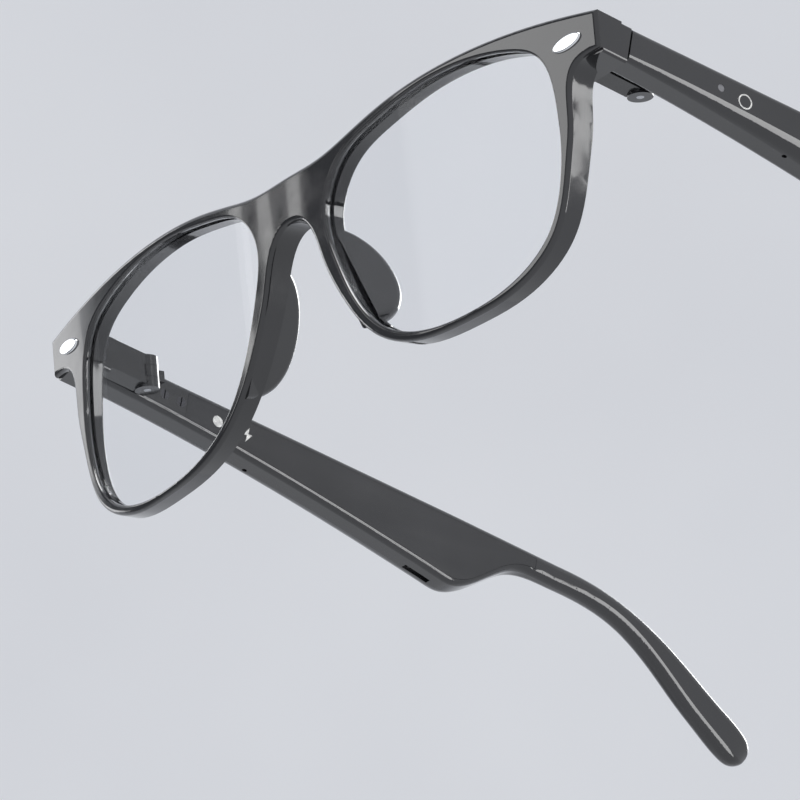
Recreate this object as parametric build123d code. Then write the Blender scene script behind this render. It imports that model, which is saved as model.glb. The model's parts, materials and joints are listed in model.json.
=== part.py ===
from build123d import *
import math
import os

os.makedirs("parts", exist_ok=True)

# Smart glasses, millimetres. +X is the wearer's left, +Y runs back to the ears, +Z is up.
# The front is drawn upright with its lowest rim point at z = 0, each temple is drawn level in
# its own frame and pitched down, and the finished set is leaned onto its rims and ear tips.

# ---- front
front_half_width = 72.6       # centre line to the outer face of an end piece
wrap_radius = 480.0           # radius of the front's outer face seen from above
rim_depth = 4.1               # at mid height
rim_taper = 2.45              # degrees the rear face leans, so the brow is deeper than the foot
edge_round = 0.75
opening_round = 0.4
block_round = 0.5
lens_thickness = 1.6
lens_set_back = 0.8           # front face of the rim to the front of the lens
groove_depth = 0.5            # how far the lens edge enters the rim
lens_fit = 0.03               # room round the lens edge
opening_height = 39.6
opening_width = 54.0
opening_centre_x = 36.0       # centre line to the middle of one opening
rim_bottom = 1.1              # width of the rim below the opening
rim_top = 1.5
rim_side = 2.3
end_height = 6.2              # height of an end piece
end_fall = 0.25               # slope of the brow line where it meets an end piece
bridge_height = 7.6
pad_reach = 11.0              # length of a nose pad from the rim to its rear edge
pad_thickness = 2.4
pad_flare = 14.0              # degrees the pad opens toward the back
pad_lean = 27.0               # degrees the pad follows the slope of the nose

# ---- temples
pitch = 15.1                  # degrees the temples fall away from the front's normal
seam_back = 12.4              # front plane to the seam at the temple's top edge
seam_gap = 0.15
temple_front_thickness = 5.2
temple_thickness = 6.4
thickness_full_at = 45.0      # seam to where the temple reaches its full thickness
outer_low_round = 2.8         # rounding along the outer lower edge of the deep part
corner_round = 0.9
ear_thickness = 3.3
temple_front_height = 5.6
temple_deep_height = 12.3
temple_deep_at = 70.0         # seam to the deepest point
step_length = 15.0            # length of the rise from the deep end up to the ear piece
ear_height = 3.9
ear_tip_height = 6.4          # height of the ear piece where it broadens to the tip
ear_start = 94.0              # where the ear piece begins to curve down
ear_bend = 22.0               # length of that curve
ear_slope = 29.3              # degrees below the top edge past the curve
temple_length = 132.4
tip_round = 3.0               # length over which the ear tip closes
wall = 1.2
cover_thickness = 1.2
cover_start = 16.9
cover_end = 86.0
cover_inset = 1.0            # shell left round the edge of the cover
cover_gap = 0.05
cover_ledge = 0.5            # width of the step the cover rests on
cavity_start = 17.6

# ---- hinge
axis_back = 6.5               # seam to the hinge axis
barrel_radius = 2.0
barrel_clear = 0.35           # barrel to the temple's inner face
pin_radius = 0.6
pin_fit = 0.03                # radial running clearance
pin_head_radius = 1.1
pin_head_height = 0.45
knuckle_height = 1.7
knuckle_gap = 0.06
middle_height = 1.9
leaf_thickness = 1.0
leaf_start = 8.6
leaf_length = 8.2
leaf_height = 3.4
root_depth = 4.4             # how far the front hinge is let into the end piece
tongue_height = 5.0
barrel_side = 1.65            # hinge axis to the inner side of the front hinge
screw_radius = 0.5
screw_head_radius = 0.85
screw_length = 2.8
root_screw_length = 5.6
screw_pitch = 3.2             # spacing of the two screws in a leaf

# ---- trim and electronics
rivet_length = 5.9
rivet_width = 2.3
rivet_post = 0.6
rivet_rise = 0.35
rivet_sink = 0.1
rivet_depth = 2.4
contact_radius = 1.0
contact_at = 23.0
contact_spacing = 3.4
contact_stub = 1.0            # how far a contact reaches past the cover to the board
contact_recess = 0.1
magnet_radius = 1.5
magnet_thickness = 0.9
magnet_at = 19.4
light_radius = 0.6
light_at = 16.8
board_length = 19.0
board_height = 3.3
board_thickness = 0.8
battery_length = 21.0
battery_height = 4.8
battery_thickness = 2.9
speaker_length = 7.0
speaker_height = 7.4
speaker_thickness = 3.7
mic_size = 2.4
mic_port = 0.4
mic_at = 31.0
touch_length = 6.6
touch_height = 3.0
touch_thickness = 0.3
touch_at = 23.2
wire_radius = 0.28
slot_width = 1.1
slot_length = 5.0

inner_x = front_half_width - temple_front_thickness
axis_x = inner_x - barrel_clear - barrel_radius


def behind(depth):
    """Everything behind the face that sits `depth` behind the front's wrapped face."""
    tall = Cylinder(wrap_radius - depth, 200.0)
    return Pos(0, wrap_radius, 20.0) * tall


def band(near, far):
    """The wrapped layer between two depths."""
    return behind(near) - behind(far)


# ---- outlines of the front, seen from ahead (x, z)
sx = opening_width / 54.4     # the outline below is drawn 54.4 wide and 40 high
sz = opening_height / 40.0
cz = rim_bottom + opening_height / 2
shape = [
    (27.1, 2.2), (26.2, -7.0), (23.0, -13.7), (15.3, -18.4), (3.8, -20.0), (-7.2, -18.8),
    (-16.0, -14.6), (-21.8, -7.6), (-25.6, 0.7), (-27.2, 8.6), (-23.7, 14.7), (-14.2, 18.3),
    (-4.2, 19.9), (5.8, 20.0), (17.3, 17.9), (24.2, 14.2),
]
opening_points = [(opening_centre_x + a * sx, cz + b * sz) for a, b in shape]


def opening_face(grow=0.0):
    """The opening's outline, or the same outline moved outward."""
    rim = Edge.make_spline([Vector(a, b) for a, b in opening_points], periodic=True)
    if grow:
        moved = []
        for point in [Vector(a, b) for a, b in opening_points]:
            along = rim.tangent_at(rim.param_at_point(point))
            moved.append(point + Vector(-along.Y, along.X) * grow)
        rim = Edge.make_spline(moved, periodic=True)
    return Face(Wire([rim]))


top = rim_bottom + opening_height + rim_top
end_top = top - 3.7
end_bottom = end_top - end_height
half = front_half_width
left_edge = opening_centre_x + opening_width / 2 + rim_side
bridge_top = top - 4.1
arch = bridge_top - bridge_height


def mirrored(points):
    """Carry points that run in to the centre line on to the other side."""
    return points + [(-x, z) for x, z in reversed(points[:-1])]


def front_outline():
    """The front's outline: brow line, end pieces, rims and the arch over the nose."""
    brow = [
        (half, end_top), (56.0, top - 1.0), (39.0, top), (25.0, top - 1.0),
        (16.5, top - 2.6), (8.5, bridge_top + 0.1), (0, bridge_top),
    ]
    under = [
        (half, end_bottom),
        (left_edge + 2.6, end_bottom - 0.7),
        (left_edge + 0.35, cz + 2.2),
        (left_edge - 0.6, cz - 3.0),
        (opening_centre_x + 24.8 * sx, cz - 14.4 * sz),
        (opening_centre_x + 16.1 * sx, cz - 19.8 * sz),
        (opening_centre_x + 3.8 * sx, 0.0),
        (opening_centre_x - 8.1 * sx, cz - 20.1 * sz),
        (opening_centre_x - 17.6 * sx, cz - 15.7 * sz),
        (opening_centre_x - 25.0 * sx, cz - 6.8 * sz),
        (opening_centre_x - 29.0 * sx, cz + 1.2 * sz),
        (opening_centre_x - 31.0 * sx, cz + 6.4 * sz),
        (2.7, arch - 0.6),
        (0, arch),
    ]
    upper = Spline(*mirrored(brow))
    lower = Spline(*mirrored(under), tangents=((-1, 0), (-1, 0)), tangent_scalars=(0.6, 0.6))
    left = Line((half, end_top), (half, end_bottom))
    right = Line((-half, end_top), (-half, end_bottom))
    return make_face([upper, left, lower, right])


def upright(face, deep=60.0):
    """Stand an (x, z) face up and carry it back through the front."""
    return Pos(0, -10, 0) * (Rot(X=90) * extrude(face, deep, dir=(0, 0, -1)))


# ---- the frame a temple is drawn in: inner face at x = 0, seam at y = 0, top edge at z = 0
seam_top = end_top - (seam_back - half * half / (2 * wrap_radius)) * math.tan(math.radians(pitch))
temple_frame = Pos(inner_x, seam_back, seam_top) * Rot(X=-pitch)


def box(x0, x1, y0, y1, z0, z1):
    size = Box(x1 - x0, y1 - y0, z1 - z0)
    return Pos((x0 + x1) / 2, (y0 + y1) / 2, (z0 + z1) / 2) * size


def rod(radius, start, end):
    """A round bar between two points."""
    a = Vector(*start)
    b = Vector(*end)
    plane = Plane(origin=a, z_dir=b - a)
    return extrude(plane * Circle(radius), (b - a).length)


axis_y = seam_back + axis_back * math.cos(math.radians(pitch))
axis_z = seam_top - axis_back * math.sin(math.radians(pitch)) - temple_front_height / 2
middle_low = axis_z - middle_height / 2
middle_high = axis_z + middle_height / 2
stack_low = middle_low - knuckle_gap - knuckle_height
stack_high = middle_high + knuckle_gap + knuckle_height


def upright_rod(radius, low, high):
    return rod(radius, (axis_x, axis_y, low), (axis_x, axis_y, high))


# ---- temple outline seen from the side: (distance behind seam, height below the top edge)
step_end = temple_deep_at + step_length


def drop_at(s):
    """How far the top edge has curved down at s."""
    run = max(0.0, s - ear_start)
    slope = math.tan(math.radians(ear_slope))
    if run <= ear_bend:
        return slope * run ** 2 / (2 * ear_bend)
    return slope * (run - ear_bend / 2)


def eased(share):
    """A soft rise from 0 to 1."""
    share = max(0.0, min(1.0, share))
    return 0.5 - 0.5 * math.cos(math.pi * share)


def height_at(s):
    if s <= temple_deep_at:
        share = s / temple_deep_at
        return temple_front_height + (temple_deep_height - temple_front_height) * share ** 1.6
    if s <= step_end:
        rise = eased((s - temple_deep_at) / step_length)
        return temple_deep_height + (ear_height - temple_deep_height) * rise
    widening = temple_length - ear_start - 14.0
    return ear_height + (ear_tip_height - ear_height) * eased((s - ear_start - 7.0) / widening)


def thickness_at(s):
    if s <= temple_deep_at - 2:
        share = min(s / thickness_full_at, 1.0)
        return temple_front_thickness + (temple_thickness - temple_front_thickness) * share
    thinning = eased((s - temple_deep_at + 2) / (step_length + 8))
    return temple_thickness + (ear_thickness - temple_thickness) * thinning


def rounded(wide, high, corners):
    """A rectangle about the origin with its own radius at each corner, upper outer one first."""
    arcs = []
    signs = ((1, 1), (-1, 1), (-1, -1), (1, -1))
    for i in range(4):
        radius = corners[i]
        centre = (signs[i][0] * (wide / 2 - radius), signs[i][1] * (high / 2 - radius))
        arcs.append(CenterArc(centre, radius, 90 * i, 90))
    sides = [Line(arcs[i - 1] @ 1, arcs[i] @ 0) for i in range(4)]
    return make_face(arcs + sides)


def section(s, share_of_full=1.0):
    """Rounded section of the temple across its own run."""
    slope = (drop_at(s + 0.5) - drop_at(s - 0.5))
    angle = math.degrees(math.atan(slope))
    high = height_at(s) * share_of_full
    wide = thickness_at(s) * share_of_full
    ear_round = 0.44 * ear_thickness
    to_ear = max(0.0, min(1.0, (s - temple_deep_at) / 30.0))
    to_deep = min(1.0, s / thickness_full_at)
    corner = (corner_round + to_ear * (ear_round - corner_round)) * share_of_full
    outer = corner_round + to_deep * (outer_low_round - corner_round)
    outer = (outer + eased((s - temple_deep_at) / step_length) * (ear_round - outer)) * share_of_full
    face = rounded(wide, high, (corner, corner, corner, outer))
    place = Pos(thickness_at(s) / 2, s, -drop_at(s) - height_at(s) / 2) * Rot(X=90 - angle)
    return place * face


def temple_body():
    stations = [seam_gap]
    count = 10
    for i in range(1, count + 1):
        stations.append((temple_deep_at - 2.0) * i / count)
    count = 6
    for i in range(1, count + 1):
        stations.append(temple_deep_at - 2.0 + (step_length + 2.0) * i / count)
    count = 9
    tail = temple_length - tip_round - step_end
    for i in range(1, count + 1):
        stations.append(step_end + tail * i / count)
    sections = [section(s) for s in stations]
    for degrees in (28, 52, 74):
        swing = math.radians(degrees)
        sections.append(section(temple_length - tip_round * (1 - math.sin(swing)), math.cos(swing)))
    return loft([piece.face() for piece in sections])


def side_face(start, end, inset):
    """Side outline of the temple, set in all round, between two stations."""
    count = 14
    low = []
    for i in range(count + 1):
        s = start + (end - start) * i / count
        low.append((s, -height_at(s) + inset))
    upper = Line((start, -inset), (end, -inset))
    back = Line((end, -inset), low[-1])
    lower = Spline(*low)
    front = Line(low[0], (start, -inset))
    return make_face([upper, back, lower, front])


def slab(start, end, inset, x0, x1):
    """That outline as a plate between two depths from the inner face."""
    flat = extrude(side_face(start, end, inset), x1 - x0)
    return Pos(x0, 0, 0) * (Plane.YZ * flat)


def wrapped_edges(solid, depth, x_limit):
    """Edges of the wrapped face at a depth: outline edges reach past x_limit, openings don't."""
    outline = ShapeList()
    openings = ShapeList()
    for face in solid.faces().filter_by(GeomType.CYLINDER):
        if abs(face.radius - (wrap_radius - depth)) < 0.001:
            for edge in face.edges():
                if max(abs(edge.bounding_box().max.X), abs(edge.bounding_box().min.X)) > x_limit:
                    outline.append(edge)
                else:
                    openings.append(edge)
    return outline, openings


def opening_cut():
    return upright(opening_face())


def end_relief():
    """What is taken off the plate's rear top corner so the brow falls with the temple."""
    across = Vector(1, 0, -end_fall)
    back = Vector(0, 1, -math.tan(math.radians(pitch)))
    corner = Vector(half, half * half / (2 * wrap_radius) + 0.3, end_top)
    plane = Plane(origin=corner, x_dir=across, z_dir=across.cross(back))
    return plane * box(-20, 5, 0, 20, 0, 6)


def front_plate():
    rear = Pos(0, 0, cz) * Rot(X=-rim_taper) * Pos(0, 0, -cz) * behind(rim_depth)
    plate = (upright(front_outline()) & behind(0)) - rear
    plate = plate - opening_cut() - mirror(opening_cut(), about=Plane.YZ)
    plate = plate.solid()
    limit = half - 3.0
    plate = plate.fillet(edge_round, wrapped_edges(plate, 0, limit)[0])
    plate = plate.fillet(opening_round, wrapped_edges(plate, 0, limit)[1])
    plate = plate.fillet(opening_round, wrapped_edges(plate, rim_depth, limit)[1])
    return plate - end_relief() - mirror(end_relief(), about=Plane.YZ)


def end_block():
    """The moulded end behind the rim's corner, cut off square at the seam."""
    block = temple_frame * box(axis_x - barrel_side - inner_x, temple_front_thickness,
                               -seam_back, -seam_gap, -end_height, 0)
    block = block & behind(edge_round + 0.2)
    long_edges = block.edges().filter_by(Axis.Y, tolerance=pitch + 6)
    return block.fillet(block_round, long_edges)


def nose_pad():
    """A moulded pad that stands back from the rim beside the nose."""
    flare = math.radians(pad_flare)
    lean = math.radians(pad_lean)
    back = Vector(math.sin(flare), math.cos(flare), 0)
    up = Vector(-math.sin(lean), 0, math.cos(lean))
    start = Vector(opening_centre_x - 29.9 * sx, 0, cz + 3.7 * sz)
    plane = Plane(origin=start, x_dir=back, z_dir=back.cross(up))
    k = pad_reach / 8.8
    outer = Spline((0.8, 2.0), (3.6, 2.0), (6.4 * k, -1.0), (8.3 * k, -5.7),
                   (8.8 * k, -10.8), (7.6 * k, -15.8), (4.6 * k, -18.8), (0.8, -19.4))
    root = Line((0.8, -19.4), (0.8, 2.0))
    pad = extrude(plane * make_face([outer, root]), pad_thickness)
    edges = pad.edges().filter_by(lambda e: e.length > 22)
    return fillet(edges, 1.0) & behind(0.8)


def lens(grow=0.0):
    blank = upright(opening_face(groove_depth + grow))
    return blank & band(lens_set_back, lens_set_back + lens_thickness)


# ---- rivet, set square to the wrapped face
rivet_x = half - 6.2
rivet_z = end_top - 3.3
rivet_tilt = math.radians(6.0)
turn = math.asin(rivet_x / wrap_radius)
rivet_plane = Plane(
    origin=(rivet_x, wrap_radius * (1 - math.cos(turn)), rivet_z),
    x_dir=(math.cos(turn) * math.cos(rivet_tilt), math.sin(turn) * math.cos(rivet_tilt),
           math.sin(rivet_tilt)),
    z_dir=(math.sin(turn), -math.cos(turn), 0),
)


def rivet():
    oval = Ellipse(rivet_length / 2, rivet_width / 2)
    head = extrude(oval, rivet_rise + rivet_sink)
    head = head.fillet(0.75 * rivet_rise, head.faces().sort_by(Axis.Z)[-1].edges())
    post = Pos(0, 0, -rivet_depth / 2 + 0.05) * Cylinder(rivet_post, rivet_depth)
    return rivet_plane * (Pos(0, 0, -rivet_sink) * head + Pos(0, 0, -rivet_sink) * post)


def rivet_seat():
    oval = extrude(Ellipse(rivet_length / 2, rivet_width / 2), 2.0)
    hole = Pos(0, 0, -rivet_depth / 2 + 0.05) * Cylinder(rivet_post, rivet_depth)
    return rivet_plane * (Pos(0, 0, -rivet_sink) * (oval + hole))


# ---- hinge
tongue_mid = -temple_front_height / 2
root_x = axis_x - barrel_side - inner_x


def front_hinge():
    bar = temple_frame * box(root_x, -barrel_clear, -root_depth, axis_back,
                             tongue_mid - tongue_height / 2, tongue_mid + tongue_height / 2)
    low = upright_rod(barrel_radius, stack_low, middle_low - knuckle_gap)
    high = upright_rod(barrel_radius, middle_high + knuckle_gap, stack_high)
    waste = box(-20, 20, 0, 20, -30, 30)
    bar = bar - Pos(axis_x, axis_y, axis_z) * waste
    bar = bar - upright_rod(barrel_radius + 2 * knuckle_gap + 0.03,
                            middle_low - knuckle_gap, middle_high + knuckle_gap)
    bar = bar + low + high
    bar = bar - upright_rod(pin_head_radius + pin_fit, stack_high, stack_high + 3)
    return bar - upright_rod(pin_radius, stack_low - 3, stack_high + 3) - root_holes()


def root_screw_places():
    places = []
    for side in (-1, 1):
        spot = Pos(root_x, -root_depth / 2, tongue_mid + side * screw_pitch * 0.4)
        places.append(temple_frame * spot * Rot(Y=90))
    return places


def screw(length, radius=screw_radius, head=screw_head_radius):
    """A slotted countersunk screw; its head is flush at z = 0 and it points along +z."""
    rise = head - radius
    cone = Pos(0, 0, rise / 2) * Cone(head, radius, rise)
    shank = Pos(0, 0, length / 2) * Cylinder(radius, length)
    slot = Pos(0, 0, 0) * Box(2 * head, 0.22, 0.4)
    return cone + shank - slot


def screw_hole(length, radius=screw_radius, head=screw_head_radius):
    rise = head - radius
    cone = Pos(0, 0, rise / 2) * Cone(head, radius, rise)
    return cone + Pos(0, 0, length / 2) * Cylinder(radius, length)


def root_holes():
    holes = [place * screw_hole(root_screw_length) for place in root_screw_places()]
    return holes[0] + holes[1]


def front_hinge_screws():
    return Compound([place * screw(root_screw_length) for place in root_screw_places()])


def front_hinge_pocket():
    return temple_frame * box(root_x - 1, -barrel_clear, -root_depth, 1,
                              tongue_mid - tongue_height / 2, tongue_mid + tongue_height / 2)


leaf_mid = -(height_at(leaf_start + leaf_length / 2)) / 2
leaf_screw_at = leaf_start + leaf_length - 1.1 - screw_pitch


def leaf_screw_places():
    places = []
    for i in range(2):
        spot = Pos(0, leaf_screw_at + i * screw_pitch, leaf_mid)
        places.append(temple_frame * spot * Rot(Y=90))
    return places


def leaf_blank():
    return temple_frame * box(0, leaf_thickness, leaf_start, leaf_start + leaf_length,
                              leaf_mid - leaf_height / 2, leaf_mid + leaf_height / 2)


def temple_hinge():
    lead = leaf_start * math.cos(math.radians(pitch)) + 1.2
    arm = box(-0.4, inner_x - axis_x, 0, seam_back + lead - axis_y,
              -middle_height / 2, middle_height / 2)
    arm = Pos(axis_x, axis_y, axis_z) * arm
    knuckle = upright_rod(barrel_radius, middle_low, middle_high)
    piece = leaf_blank() + arm + knuckle
    piece = piece - upright_rod(pin_radius + pin_fit, stack_low - 3, stack_high + 3)
    for place in leaf_screw_places():
        piece = piece - place * screw_hole(screw_length)
    return piece


def temple_hinge_screws():
    return Compound([place * screw(screw_length) for place in leaf_screw_places()])


def hinge_pin():
    """A slotted screw whose plain shank is the hinge's axle."""
    shank = upright_rod(pin_radius, stack_low, stack_high + 0.1)
    head = upright_rod(pin_head_radius, stack_high, stack_high + pin_head_height)
    slot = Pos(axis_x, axis_y, stack_high + pin_head_height) * Box(4, 0.3, 0.5)
    return shank + head - slot


# ---- temple and what it holds
split = 36.0                  # station where the cavity widens
front_room = temple_front_thickness + 0.5 - wall
rear_room = temple_thickness - wall - 0.2
rim_inset = cover_inset + cover_ledge
cavity_end = temple_deep_at + 0.6
speaker_at = cavity_end - 1.0 - speaker_length
speaker_drop = height_at(speaker_at) - 2 * rim_inset - speaker_height - 0.35
battery_at = speaker_at - 0.8 - battery_length
battery_mid = -(rim_inset + 0.3 + battery_height / 2)
board_at = battery_at - 0.8 - board_length
board_mid = -(rim_inset + 0.1 + board_height / 2)
board_x = cover_thickness + contact_stub
board_back = board_x + board_thickness


def cavity():
    near = slab(cavity_start, split + 1, rim_inset, cover_thickness - 0.1, front_room)
    far = slab(split, cavity_end, rim_inset, cover_thickness - 0.1, rear_room)
    light_room = box(front_room - 1.2, front_room, light_at - light_radius - 0.3, cavity_start + 1,
                     light_mid - 1.2, light_mid + 1.2)
    return near + far + light_room


def cover_plate():
    return slab(cover_start, cover_end, cover_inset, 0, cover_thickness)


light_mid = -height_at(light_at) / 2 + 0.3


def light_bore(extra=0.0):
    return rod(light_radius, (front_room - 0.4, light_at, light_mid),
               (thickness_at(light_at) - 0.05 + extra, light_at, light_mid))


def contact_rod(i, x0, x1, radius):
    s = contact_at + i * contact_spacing
    z = -height_at(s) / 2
    return rod(radius, (x0, s, z), (x1, s, z))


def slot_bar(width, length, z0, z1):
    s = speaker_at + speaker_length / 2 - 0.6
    mid_x = 0.5 * (cover_thickness + rear_room)
    z_low = -height_at(s)
    bar = box(mid_x - width / 2, mid_x + width / 2, s - length / 2, s + length / 2, z0, z1)
    return Pos(0, 0, z_low) * bar


def wire(path):
    return sweep(Plane(origin=path @ 0, z_dir=path % 0) * Circle(wire_radius), path)


def battery_lead(side):
    """From the outer side of the board to the front end of the battery."""
    z = battery_mid + side * 0.8
    start = (board_back, board_at + board_length - 1.6, z)
    end = (board_back + 0.6, battery_at, z)
    return wire(Spline(start, end, tangents=((1, 0, 0), (0, 1, 0))))


def speaker_lead(side):
    """From the board, past the battery's outer side, to the front end of the speaker."""
    z = battery_mid + side * 1.1
    lane = 0.5 * (cover_thickness + battery_thickness + rear_room)
    start = (board_back + 0.71 * wire_radius, board_at + board_length - 3.6, z)
    level = (lane, battery_at - 0.4, z)
    rise = Spline(start, level, tangents=((1, 1, 0), (0, 1, 0)))
    return wire(Wire([rise, Line(level, (lane, speaker_at, z))]))


def local_parts():
    shell = temple_body()
    shell = shell - slab(cover_start - cover_gap, cover_end + cover_gap,
                         cover_inset - cover_gap, -1, cover_thickness)
    shell = shell - cavity()
    shell = shell - box(-1, leaf_thickness, leaf_start, leaf_start + leaf_length,
                        leaf_mid - leaf_height / 2, leaf_mid + leaf_height / 2)
    for place in leaf_screw_places():
        shell = shell - temple_frame.inverse() * place * screw_hole(screw_length)
    shell = shell - light_bore(1.0) - slot_bar(slot_width, slot_length, -1, 3)
    mic_x = board_back + 0.6
    shell = shell - rod(mic_port, (mic_x, mic_at, -12), (mic_x, mic_at, board_mid))

    cover = cover_plate()
    contacts = Compound([
        contact_rod(i, contact_recess, cover_thickness + contact_stub, contact_radius)
        for i in range(2)
    ])
    for i in range(2):
        cover = cover - contact_rod(i, -1, 3, contact_radius)
    board = box(board_x, board_x + board_thickness, board_at, board_at + board_length,
                board_mid - board_height / 2, board_mid + board_height / 2)
    magnet = rod(magnet_radius, (cover_thickness, magnet_at, -height_at(magnet_at) / 2),
                 (cover_thickness + magnet_thickness, magnet_at, -height_at(magnet_at) / 2))
    mic = box(board_back, board_back + 1.0, mic_at - mic_size / 2, mic_at + mic_size / 2,
              board_mid - mic_size / 2, board_mid + mic_size / 2)
    touch_z = -height_at(touch_at) / 2
    touch = box(front_room - touch_thickness, front_room, touch_at - touch_length / 2,
                touch_at + touch_length / 2, touch_z - touch_height / 2, touch_z + touch_height / 2)
    battery = box(cover_thickness, cover_thickness + battery_thickness, battery_at,
                  battery_at + battery_length, battery_mid - battery_height / 2,
                  battery_mid + battery_height / 2)
    battery = battery.fillet(0.8, battery.edges().filter_by(Axis.Y))
    speaker_z = -rim_inset - speaker_drop
    speaker = box(cover_thickness, cover_thickness + speaker_thickness, speaker_at,
                  speaker_at + speaker_length, speaker_z - speaker_height, speaker_z)
    speaker = speaker.fillet(0.6, speaker.edges().filter_by(Axis.X))
    grille = slot_bar(slot_width, slot_length, 0.6, 1.0)
    for i in range(5):
        pierce = slot_bar(0.5, 0.5, -1, 3)
        grille = grille - Pos(0, (i - 2) * slot_length / 5, 0) * pierce
    return {
        "temple_shell": shell,
        "temple_cover": cover,
        "charge_contacts": contacts,
        "charge_magnet": magnet,
        "circuit_board": board,
        "battery": battery,
        "speaker": speaker,
        "speaker_grille": grille,
        "light_pipe": light_bore(),
        "microphone": mic,
        "touch_pad": touch,
        "battery_leads": Compound([battery_lead(-1), battery_lead(1)]),
        "speaker_leads": Compound([speaker_lead(-1), speaker_lead(1)]),
    }


# ---- the set, in the upright frame
def front_nodes():
    block = end_block()
    pad = nose_pad()
    frame = front_plate() + block + pad
    frame = frame + mirror(block, about=Plane.YZ) + mirror(pad, about=Plane.YZ)
    cuts = rivet_seat() + front_hinge_pocket() + lens(lens_fit)
    for place in root_screw_places():
        cuts = cuts + place * Pos(0, 0, 0.5) * screw_hole(root_screw_length - 0.5)
    frame = frame - cuts - mirror(cuts, about=Plane.YZ)
    return {"front_frame": frame}


def left_nodes():
    nodes = {
        "lens": lens(),
        "rivet": rivet(),
        "front_hinge": front_hinge(),
        "front_hinge_screws": front_hinge_screws(),
        "hinge_pin": hinge_pin(),
        "temple_hinge": temple_hinge(),
        "temple_hinge_screws": temple_hinge_screws(),
    }
    for name, piece in local_parts().items():
        nodes[name] = temple_frame * piece
    return nodes


def lowest(shape, angle):
    return (Rot(X=angle) * shape).bounding_box().min.Z


def resting_lean(front, temple):
    """The lean that puts the rims and the ear tips on one level surface."""
    low = 0.0
    high = 20.0
    for _ in range(24):
        middle = 0.5 * (low + high)
        if lowest(temple, middle) < lowest(front, middle):
            low = middle
        else:
            high = middle
    return 0.5 * (low + high)


nodes = front_nodes()
for name, piece in left_nodes().items():
    nodes[name + "_left"] = piece
    nodes[name + "_right"] = mirror(piece, about=Plane.YZ)

lean = resting_lean(nodes["front_frame"], nodes["temple_shell_left"])
leaned = {name: Rot(X=lean) * piece for name, piece in nodes.items()}
front_box = leaned["front_frame"].bounding_box()
temple_box = leaned["temple_shell_left"].bounding_box()
shift = Pos(0, -0.5 * (front_box.min.Y + temple_box.max.Y), -min(front_box.min.Z, temple_box.min.Z))

for name, piece in leaned.items():
    export_step(shift * piece, "parts/" + name + ".step")
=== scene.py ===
import json
import math

import bpy
from mathutils import Euler, Matrix, Vector


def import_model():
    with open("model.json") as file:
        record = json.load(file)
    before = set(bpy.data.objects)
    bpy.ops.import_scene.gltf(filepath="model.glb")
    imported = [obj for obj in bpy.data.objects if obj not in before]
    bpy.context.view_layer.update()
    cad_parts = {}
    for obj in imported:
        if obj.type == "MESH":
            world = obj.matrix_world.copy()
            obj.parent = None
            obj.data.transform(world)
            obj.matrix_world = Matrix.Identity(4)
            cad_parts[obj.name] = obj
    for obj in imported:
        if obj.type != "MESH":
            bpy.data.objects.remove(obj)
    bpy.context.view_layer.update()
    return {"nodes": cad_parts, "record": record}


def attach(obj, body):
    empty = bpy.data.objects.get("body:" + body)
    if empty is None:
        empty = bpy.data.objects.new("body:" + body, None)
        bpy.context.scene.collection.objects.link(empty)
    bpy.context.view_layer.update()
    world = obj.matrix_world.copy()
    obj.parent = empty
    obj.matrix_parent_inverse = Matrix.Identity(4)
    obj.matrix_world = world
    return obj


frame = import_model()
nodes = frame["nodes"]
record = frame["record"]
MM = 0.001
TEMPLE_PITCH = 15.1    # degrees a temple falls away from the front's normal

# Camera, as the direction it looks from, and its distance from a point near the middle of the set.
VIEW_AZIMUTH = 55.095
VIEW_ELEVATION = -25.356
VIEW_ROLL = 1.469
VIEW_DISTANCE = 1.63088
VIEW_TARGET = Vector((-0.02332, -0.03200, 0.01979))
LENS_MM = 469.8
MIRRORED_SIDE = (-0.742, -0.61, 0.283)    # where the bridge's face mirrors the camera to


# ---- materials

def new_material(name):
    """An empty material with its nodes, its links and its principled shader."""
    mat = bpy.data.materials.new(name)
    mat.use_nodes = True
    tree = mat.node_tree
    return mat, tree.nodes, tree.links, tree.nodes["Principled BSDF"]


def noise(tree_nodes, links, scale, detail=4.0, stretch=(1, 1, 1), rough=0.55):
    """Object-space noise, stretched along an axis where wanted."""
    coords = tree_nodes.new("ShaderNodeTexCoord")
    mapping = tree_nodes.new("ShaderNodeMapping")
    mapping.inputs["Scale"].default_value = stretch
    texture = tree_nodes.new("ShaderNodeTexNoise")
    texture.inputs["Scale"].default_value = scale
    texture.inputs["Detail"].default_value = detail
    texture.inputs["Roughness"].default_value = rough
    links.new(coords.outputs["Object"], mapping.inputs["Vector"])
    links.new(mapping.outputs["Vector"], texture.inputs["Vector"])
    return texture.outputs["Fac"]


def ramp(tree_nodes, links, value, low, high, start=0.3, end=0.7):
    """Maps a value onto a colour or grey between two ends."""
    node = tree_nodes.new("ShaderNodeValToRGB")
    node.color_ramp.elements[0].position = start
    node.color_ramp.elements[1].position = end
    node.color_ramp.elements[0].color = (*low, 1) if isinstance(low, tuple) else (low, low, low, 1)
    node.color_ramp.elements[1].color = (*high, 1) if isinstance(high, tuple) else (high, high, high, 1)
    links.new(value, node.inputs["Fac"])
    return node.outputs["Color"]


def bump(tree_nodes, links, shader, height, strength, distance):
    node = tree_nodes.new("ShaderNodeBump")
    node.inputs["Strength"].default_value = strength
    node.inputs["Distance"].default_value = distance
    links.new(height, node.inputs["Height"])
    links.new(node.outputs["Normal"], shader.inputs["Normal"])


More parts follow.
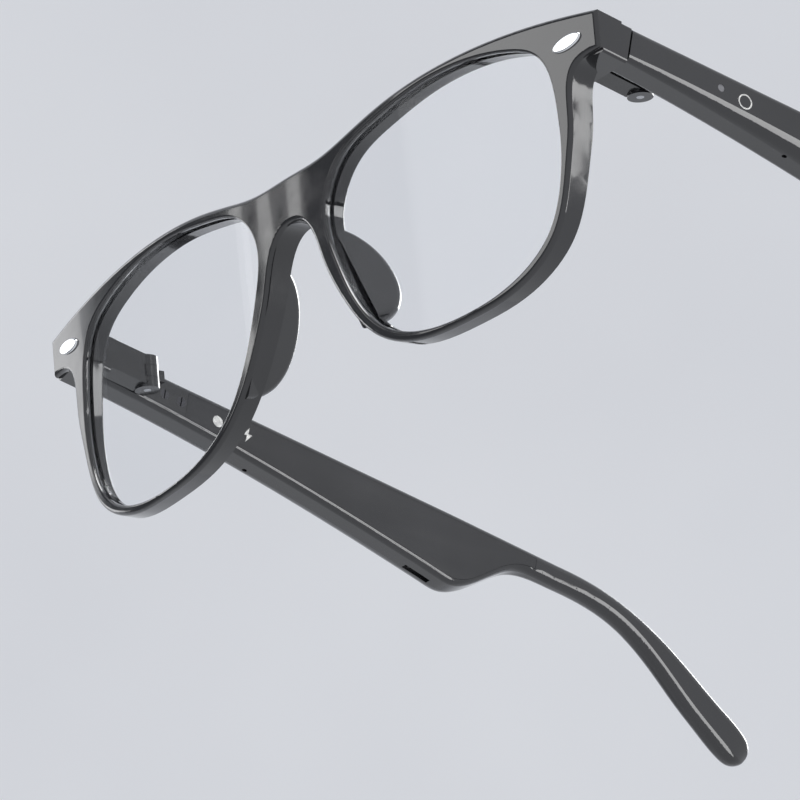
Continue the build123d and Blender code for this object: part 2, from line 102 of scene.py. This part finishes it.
def gloss_plastic(name, colour, lift, coat=0.6, rough=(0.05, 0.12)):
    """Polished moulded plastic with faint flow tone, fine wipe marks and a few dull handled patches."""
    mat, n, links, shader = new_material(name)
    links.new(ramp(n, links, noise(n, links, 38.0, 5.0), colour, lift), shader.inputs["Base Color"])
    wipes = noise(n, links, 260.0, 6.0, (1.0, 0.12, 1.0))
    handled = ramp(n, links, noise(n, links, 30.0, 3.0), 0.0, 0.10, 0.52, 0.80)
    total = n.new("ShaderNodeMath")
    total.operation = "ADD"
    links.new(ramp(n, links, wipes, rough[0], rough[1], 0.35, 0.75), total.inputs[0])
    links.new(handled, total.inputs[1])
    links.new(total.outputs[0], shader.inputs["Roughness"])
    shader.inputs["IOR"].default_value = 1.53
    shader.inputs["Coat Weight"].default_value = coat
    shader.inputs["Coat Roughness"].default_value = 0.03
    bump(n, links, shader, noise(n, links, 900.0, 3.0), 0.04, 0.00002)
    return mat


def metal(name, colour, rough, brush=(1, 1, 1), scale=1500.0, strength=0.08):
    """Plated or drawn metal with fine polishing marks."""
    mat, n, links, shader = new_material(name)
    tone = noise(n, links, 300.0, 4.0)
    dark = tuple(0.82 * c for c in colour)
    links.new(ramp(n, links, tone, dark, colour), shader.inputs["Base Color"])
    marks = noise(n, links, scale, 5.0, brush)
    links.new(ramp(n, links, marks, 0.7 * rough, 1.5 * rough), shader.inputs["Roughness"])
    shader.inputs["Metallic"].default_value = 1.0
    bump(n, links, shader, marks, strength, 0.00002)
    return mat


def lens_clear():
    """Clear hard-coated lens with the faintest smears."""
    mat, n, links, shader = new_material("lens_clear_detail")
    shader.inputs["Transmission Weight"].default_value = 1.0
    shader.inputs["IOR"].default_value = 1.12
    haze = noise(n, links, 55.0, 6.0)
    links.new(ramp(n, links, haze, 0.0, 0.015, 0.45, 0.8), shader.inputs["Roughness"])
    tint = ramp(n, links, haze, (0.985, 0.99, 1.0), (0.97, 0.98, 0.99))
    links.new(tint, shader.inputs["Base Color"])
    bump(n, links, shader, noise(n, links, 120.0, 2.0), 0.02, 0.00001)
    return mat


def matte(name, colour, lift, rough, scale, strength=0.25, stretch=(1, 1, 1)):
    mat, n, links, shader = new_material(name)
    grain = noise(n, links, scale, 6.0, stretch)
    links.new(ramp(n, links, grain, colour, lift), shader.inputs["Base Color"])
    links.new(ramp(n, links, grain, 0.8 * rough, min(1.0, 1.2 * rough)), shader.inputs["Roughness"])
    bump(n, links, shader, grain, strength, 0.00004)
    return mat


def build_materials():
    black = (0.010, 0.010, 0.011)
    black_lift = (0.017, 0.017, 0.019)
    return {
        "frame_gloss": gloss_plastic("frame_gloss_detail", black, black_lift),
        "temple_gloss": gloss_plastic("temple_gloss_detail", black, black_lift),
        "cover_gloss": gloss_plastic("cover_gloss_detail", black, (0.020, 0.020, 0.022), 0.4, (0.08, 0.18)),
        "lens_clear": lens_clear(),
        "rivet_chrome": metal("rivet_chrome_detail", (0.86, 0.87, 0.89), 0.07),
        "hinge_black": gloss_plastic("hinge_black_detail", black, (0.02, 0.02, 0.021), 0.3, (0.12, 0.24)),
        "screw_steel": metal("screw_steel_detail", (0.55, 0.56, 0.58), 0.25),
        "screw_dark": metal("screw_dark_detail", (0.06, 0.06, 0.065), 0.3),
        "cell_wrap": metal("cell_wrap_detail", (0.62, 0.63, 0.64), 0.35),
        "board_green": matte("board_green_detail", (0.01, 0.10, 0.04), (0.02, 0.16, 0.07), 0.4, 900.0),
        "speaker_body": matte("speaker_body_detail", (0.04, 0.04, 0.04), (0.06, 0.06, 0.06), 0.6, 800.0),
        "grille_mesh": metal("grille_mesh_detail", (0.09, 0.09, 0.095), 0.4, scale=5000.0, strength=0.5),
        "mic_can": metal("mic_can_detail", (0.7, 0.7, 0.68), 0.25),
        "touch_film": matte("touch_film_detail", (0.38, 0.20, 0.05), (0.5, 0.3, 0.1), 0.35, 600.0),
        "contact_metal": metal("contact_metal_detail", (0.80, 0.79, 0.76), 0.16),
        "magnet_nickel": metal("magnet_nickel_detail", (0.66, 0.66, 0.64), 0.2),
        "light_clear": matte("light_clear_detail", (0.10, 0.10, 0.11), (0.2, 0.2, 0.21), 0.12, 400.0, 0.05),
        "wire_red": matte("wire_red_detail", (0.32, 0.02, 0.02), (0.45, 0.04, 0.04), 0.45, 1500.0),
        "wire_black": matte("wire_black_detail", (0.02, 0.02, 0.02), (0.04, 0.04, 0.04), 0.45, 1500.0),
    }


def dress_nodes(materials):
    """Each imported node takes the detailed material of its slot."""
    for sub in record["subparts"]:
        node = nodes[sub["node"]]
        for slot in node.material_slots:
            slot.material = materials[sub["material_slot"]]


# ---- printed marks on the temples, without any lettering

def place_mark(name, outline, holes, start, inward, upward, body):
    """A thin printed shape laid on the surface found from start along inward."""
    graph = bpy.context.evaluated_depsgraph_get()
    hit, place, normal, _, _, _ = bpy.context.scene.ray_cast(graph, start, inward)
    if not hit:
        raise RuntimeError("no surface for " + name)
    across = upward.cross(normal).normalized()
    upright = normal.cross(across)
    curve = bpy.data.curves.new(name, "CURVE")
    curve.dimensions = "2D"
    curve.fill_mode = "FRONT"
    for ring in [outline] + holes:
        spline = curve.splines.new("POLY")
        spline.points.add(len(ring) - 1)
        spline.use_cyclic_u = True
        for point, (a, b) in zip(spline.points, ring):
            point.co = (a * MM, b * MM, 0, 1)
    flat = bpy.data.objects.new(name, curve)
    bpy.context.collection.objects.link(flat)
    bpy.context.view_layer.update()
    mesh = bpy.data.meshes.new_from_object(flat.evaluated_get(bpy.context.evaluated_depsgraph_get()))
    bpy.data.objects.remove(flat)
    mark = bpy.data.objects.new(name, mesh)
    bpy.context.collection.objects.link(mark)
    mark.matrix_world = Matrix((across, upright, normal)).transposed().to_4x4()
    mark.location = place + normal * 0.015 * MM
    mark.data.materials.append(bpy.data.materials["contact_metal_detail"])
    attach(mark, body)


def circle(x, y, radius, count=28):
    turns = [2 * math.pi * i / count for i in range(count)]
    return [(x + radius * math.cos(t), y + radius * math.sin(t)) for t in turns]


def marks():
    """A charge bolt beside each pair of contacts and a touch ring on each outer face."""
    bolt = [(0.15, 1.35), (-0.85, -0.15), (-0.1, -0.1), (-0.25, -1.35), (0.85, 0.25), (0.1, 0.2)]
    joints = {joint["child"]: joint for joint in record["behaviour"]["joints"]}
    for mount in record["mounts"]:
        side = mount["name"].split("_")[-1]
        face = Vector(mount["axis"])
        hinge = Vector(joints["temple_" + side]["axis"])
        up = hinge if hinge.z > 0 else -hinge
        lean = math.atan2(-up.y, up.z)
        fall = lean - math.radians(TEMPLE_PITCH)
        along = Vector((0, math.cos(fall), math.sin(fall)))
        upward = Vector((0, -math.sin(fall), math.cos(fall)))
        place = Vector(mount["pos_m"])
        body = "temple_" + side
        start = place + along * 3.7 * MM + face * 4 * MM
        place_mark("charge_mark_" + side, bolt, [], start, -face, upward, body)
        start = place - along * 3.4 * MM + upward * 0.2 * MM - face * 30 * MM
        place_mark("touch_mark_" + side, circle(0, 0, 1.25), [circle(0, 0, 1.02)], start, face, upward, body)


# ---- studio

def backdrop(direction):
    """A pale sheet far behind the set, square to the camera."""
    mesh = bpy.data.meshes.new("backdrop")
    size = 6.0
    mesh.from_pydata([(-size, -size, 0), (size, -size, 0), (size, size, 0), (-size, size, 0)], [],
                     [(0, 1, 2, 3)])
    sheet = bpy.data.objects.new("backdrop", mesh)
    bpy.context.collection.objects.link(sheet)
    sheet.rotation_mode = "QUATERNION"
    sheet.rotation_quaternion = direction.to_track_quat("Z", "Y")
    sheet.location = -direction * 4.2
    mat, n, links, shader = new_material("backdrop_paper")
    grain = noise(n, links, 3.0, 3.0)
    links.new(ramp(n, links, grain, (0.84, 0.845, 0.865), (0.89, 0.895, 0.91)), shader.inputs["Base Color"])
    shader.inputs["Roughness"].default_value = 0.9
    sheet.data.materials.append(mat)


def soft_light(name, place, target, size, power, tint=(1, 1, 1)):
    data = bpy.data.lights.new(name, "AREA")
    data.shape = "RECTANGLE"
    data.size = size[0]
    data.size_y = size[1]
    data.energy = power
    data.color = tint
    lamp = bpy.data.objects.new(name, data)
    lamp.location = place
    lamp.rotation_mode = "QUATERNION"
    lamp.rotation_quaternion = (Vector(target) - Vector(place)).to_track_quat("-Z", "Y")
    bpy.context.collection.objects.link(lamp)


def world():
    """Bright room light that falls off toward the side the front's face mirrors."""
    sky = bpy.data.worlds.new("studio")
    sky.use_nodes = True
    n = sky.node_tree.nodes
    links = sky.node_tree.links
    coords = n.new("ShaderNodeTexCoord")
    toward = n.new("ShaderNodeVectorMath")
    toward.operation = "DOT_PRODUCT"
    toward.inputs[1].default_value = MIRRORED_SIDE
    links.new(coords.outputs["Generated"], toward.inputs[0])
    dark = (0.20, 0.21, 0.23)
    links.new(ramp(n, links, toward.outputs["Value"], (0.80, 0.82, 0.86), dark, 0.45, 0.85),
              n["Background"].inputs["Color"])
    n["Background"].inputs["Strength"].default_value = 0.85
    bpy.context.scene.world = sky


def view_direction():
    a = math.radians(VIEW_AZIMUTH)
    e = math.radians(VIEW_ELEVATION)
    return Vector((math.sin(a) * math.cos(e), -math.cos(a) * math.cos(e), math.sin(e)))


def camera():
    back = view_direction()
    data = bpy.data.cameras.new("camera")
    data.lens = LENS_MM
    data.sensor_width = 36.0
    data.clip_start = 0.01
    data.clip_end = 30.0
    cam = bpy.data.objects.new("camera", data)
    cam.location = VIEW_TARGET + back * VIEW_DISTANCE
    cam.rotation_mode = "QUATERNION"
    level = (-back).to_track_quat("-Z", "Y")
    roll = Euler((0, 0, math.radians(VIEW_ROLL))).to_quaternion()
    cam.rotation_quaternion = level @ roll
    bpy.context.collection.objects.link(cam)
    bpy.context.scene.camera = cam


dress_nodes(build_materials())
marks()
backdrop(view_direction())
world()
soft_light("key", (0.5, -0.7, 1.7), (0, 0, 0.02), (0.9, 0.9), 26)
soft_light("side", (1.6, 0.6, 0.1), (0, 0, 0.02), (0.7, 1.3), 12)
soft_light("back", (-0.6, 1.5, 0.9), (0, 0, 0.02), (1.2, 0.6), 14)
soft_light("west", (-1.46, -0.42, 0.48), (0, 0, 0.02), (0.45, 0.9), 2.3)
soft_light("east", (-0.818, -1.309, 0.43), (0, 0, 0.02), (0.5, 0.9), 3.0)
for i in (-1, 0, 1):
    bar_place = (-1.187 + 0.035 * i, -0.976 - 0.043 * i, 0.453)
    soft_light(f"window_bar_{i + 1}", bar_place, (0, 0, 0.02), (0.024, 0.5), 0.10)
camera()
bpy.context.scene.view_settings.view_transform = "Standard"
